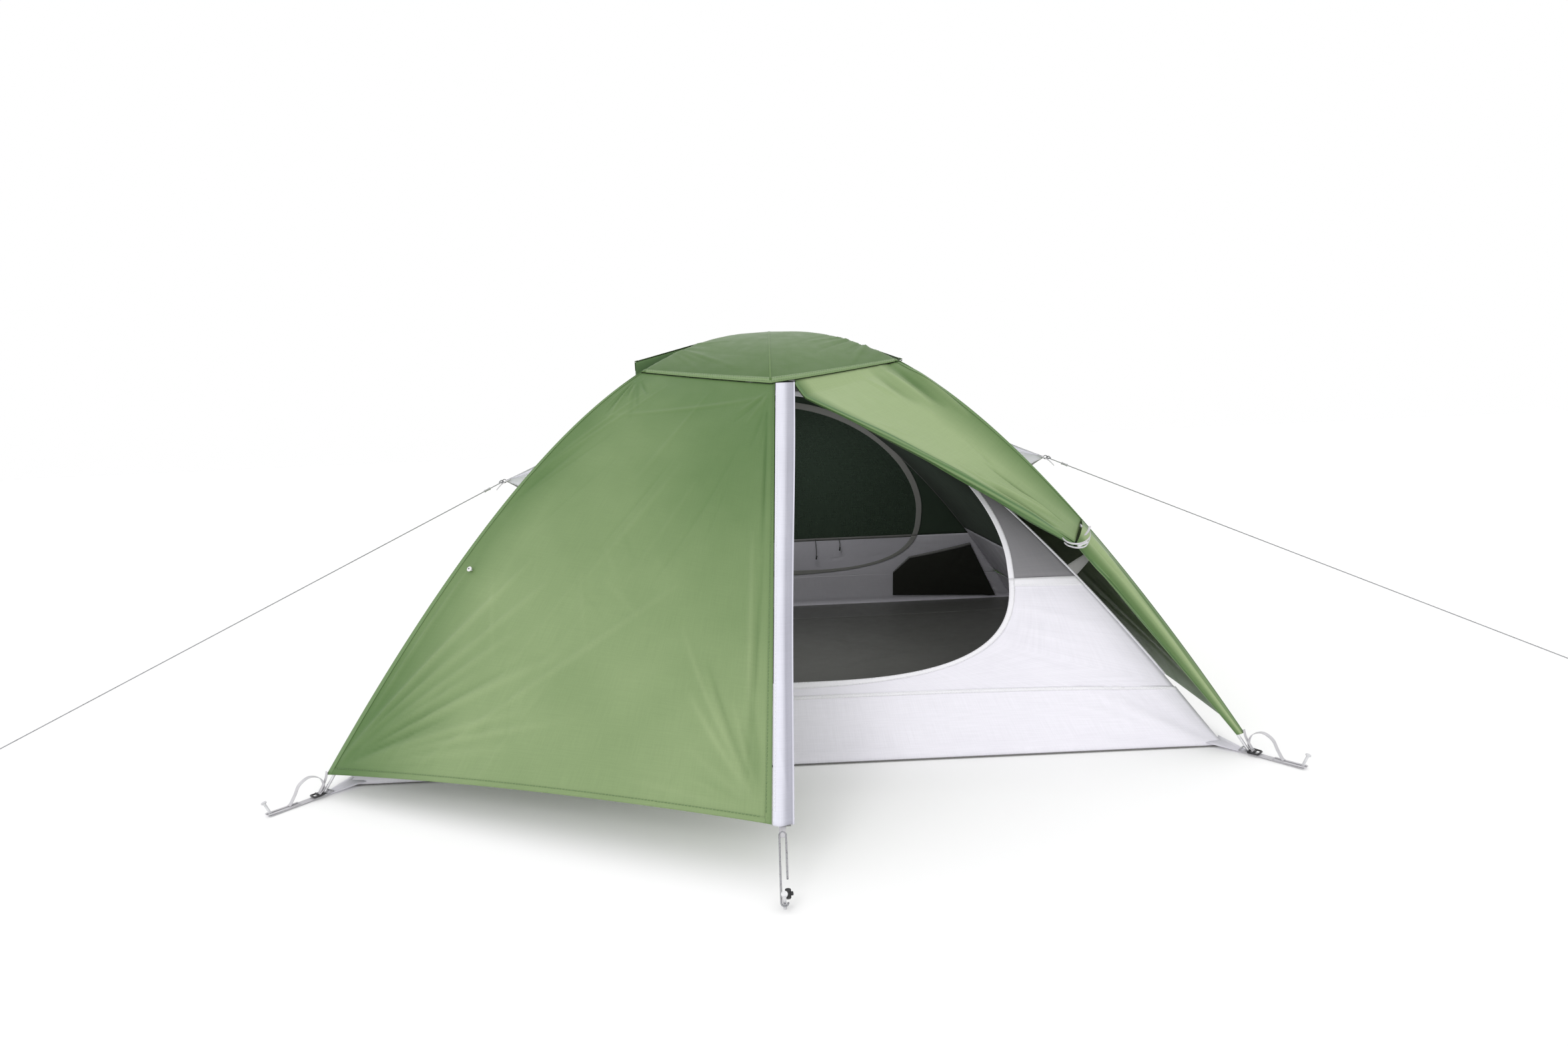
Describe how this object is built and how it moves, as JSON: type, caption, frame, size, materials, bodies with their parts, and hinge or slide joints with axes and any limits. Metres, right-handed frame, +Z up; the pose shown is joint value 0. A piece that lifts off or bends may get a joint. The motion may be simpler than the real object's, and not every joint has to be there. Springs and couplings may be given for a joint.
{
  "type": "dome tent on poles",
  "caption": "Freestanding two-door dome tent, pitched on crossing poles, with a tied-back fly door, a hung inner tent and guylines out to stakes.",
  "frame": {"origin": "on the ground, in the middle of the pitched tent under its apex", "axes": "+X along the tent's length, to the right of someone who faces the open door; +Y from the open door to the rear door; +Z up"},
  "size_m": [4.5689, 2.8926, 1.1356],
  "materials": {
    "pole_aluminium": "satin anodised",
    "shock_cord": "braided elastic cord",
    "fly_green": "coated ripstop, slight sheen",
    "fly_roof_green": "coated ripstop, slight sheen",
    "white_nylon": "woven nylon",
    "canopy_mesh": "fine insect mesh",
    "floor_nylon": "coated nylon",
    "webbing": "flat woven webbing",
    "cord": "braided cord",
    "stake_aluminium": "brushed",
    "black_plastic": "moulded",
    "white_plastic": "moulded"
  },
  "bodies": {
    "tent": {"pole_a_section_1": "pole_aluminium", "pole_a_section_2": "pole_aluminium", "pole_a_section_3": "pole_aluminium", "pole_b_section_1": "pole_aluminium", "pole_b_section_2": "pole_aluminium", "pole_b_section_3": "pole_aluminium", "pole_a_ferrule_1": "pole_aluminium", "pole_a_ferrule_2": "pole_aluminium", "pole_b_ferrule_1": "pole_aluminium", "pole_b_ferrule_2": "pole_aluminium", "ridge_pole": "pole_aluminium", "pole_tip_front_left": "pole_aluminium", "pole_tip_front_right": "pole_aluminium", "pole_tip_rear_left": "pole_aluminium", "pole_tip_rear_right": "pole_aluminium", "pole_a_shock_cord": "shock_cord", "pole_b_shock_cord": "shock_cord", "fly_end_left": "fly_green", "fly_end_right": "fly_green", "fly_front_left": "fly_green", "fly_rear": "fly_green", "fly_door_flap": "fly_green", "fly_door_band": "fly_green", "fly_roof": "fly_roof_green", "storm_flap": "white_nylon", "guy_wing_left": "white_nylon", "guy_wing_right": "white_nylon", "inner_front_wall": "white_nylon", "inner_rear_wall": "white_nylon", "inner_rear_door": "white_nylon", "inner_door_roll": "white_nylon", "inner_canopy": "canopy_mesh", "tub_floor": "floor_nylon", "corner_strap_front_left": "webbing", "corner_strap_front_right": "webbing", "corner_strap_rear_left": "webbing", "corner_strap_rear_right": "webbing", "pullout_loop_front": "cord", "pullout_loop_rear": "cord", "guyline_left": "cord", "guyline_right": "cord", "tieback_button": "white_plastic"},
    "front_zip": {"door_zip_slider": "black_plastic"},
    "inner_zip": {"inner_zip_slider": "white_plastic"},
    "vent_left": {"vent_hood_left": "fly_roof_green"},
    "vent_right": {"vent_hood_right": "fly_roof_green"},
    "toggle": {"tieback_toggle": "white_plastic"},
    "lock": {"cord_lock": "black_plastic"},
    "tensioner_left": {"guy_tensioner_left": "white_plastic"},
    "tensioner_right": {"guy_tensioner_right": "white_plastic"},
    "peg_front_left": {"stake_front_left": "stake_aluminium"},
    "peg_front_right": {"stake_front_right": "stake_aluminium"},
    "peg_rear_left": {"stake_rear_left": "stake_aluminium"},
    "peg_rear_right": {"stake_rear_right": "stake_aluminium"},
    "peg_front": {"stake_front": "stake_aluminium"},
    "peg_rear": {"stake_rear": "stake_aluminium"},
    "peg_guy_left": {"guy_stake_left": "stake_aluminium"},
    "peg_guy_right": {"guy_stake_right": "stake_aluminium"}
  },
  "joints": [
    {"name": "front_zip_slide", "type": "slide", "parent": "tent", "child": "front_zip", "axis": [-0.0355, -0.7024, -0.7109], "range_m": [0, 1.08]},
    {"name": "inner_zip_slide", "type": "slide", "parent": "tent", "child": "inner_zip", "axis": [1, 0, 0], "range_m": [0, 0.6]},
    {"name": "vent_left_hinge", "type": "hinge", "parent": "tent", "child": "vent_left", "pos_m": [-0.21513, 0, 1.09552], "axis": [0, 1, 0], "range_deg": [-8, 0]},
    {"name": "vent_right_hinge", "type": "hinge", "parent": "tent", "child": "vent_right", "pos_m": [0.21513, 0, 1.09552], "axis": [0, -1, 0], "range_deg": [0, 8]},
    {"name": "toggle_turn", "type": "hinge", "parent": "tent", "child": "toggle", "pos_m": [0.7575, -0.7619, 0.4974], "axis": [0, -1, 0], "range_deg": [-70, 70]},
    {"name": "cord_lock_slide", "type": "slide", "parent": "tent", "child": "lock", "axis": [0, 0.7944, 0.6074], "range_m": [0, 0.088]},
    {"name": "tensioner_left_slide", "type": "slide", "parent": "tent", "child": "tensioner_left", "axis": [-0.817, -0.3886, -0.4261], "range_m": [-0.03, 1.2]},
    {"name": "tensioner_right_slide", "type": "slide", "parent": "tent", "child": "tensioner_right", "axis": [0.8737, -0.2746, -0.4016], "range_m": [-0.03, 1.2]},
    {"name": "peg_front_left_pull", "type": "slide", "parent": "tent", "child": "peg_front_left", "axis": [-0.21, -0.27, 0.9397], "range_m": [0, 0.15]},
    {"name": "peg_front_right_pull", "type": "slide", "parent": "tent", "child": "peg_front_right", "axis": [0.21, -0.27, 0.9397], "range_m": [0, 0.15]},
    {"name": "peg_rear_left_pull", "type": "slide", "parent": "tent", "child": "peg_rear_left", "axis": [-0.21, 0.27, 0.9397], "range_m": [0, 0.15]},
    {"name": "peg_rear_right_pull", "type": "slide", "parent": "tent", "child": "peg_rear_right", "axis": [0.21, 0.27, 0.9397], "range_m": [0, 0.15]},
    {"name": "peg_front_pull", "type": "slide", "parent": "tent", "child": "peg_front", "axis": [0, -0.342, 0.9397], "range_m": [0, 0.15]},
    {"name": "peg_rear_pull", "type": "slide", "parent": "tent", "child": "peg_rear", "axis": [0, 0.342, 0.9397], "range_m": [0, 0.15]},
    {"name": "peg_guy_left_pull", "type": "slide", "parent": "tent", "child": "peg_guy_left", "axis": [-0.3089, -0.1469, 0.9397], "range_m": [0, 0.15]},
    {"name": "peg_guy_right_pull", "type": "slide", "parent": "tent", "child": "peg_guy_right", "axis": [0.3263, -0.1026, 0.9397], "range_m": [0, 0.15]}
  ]
}
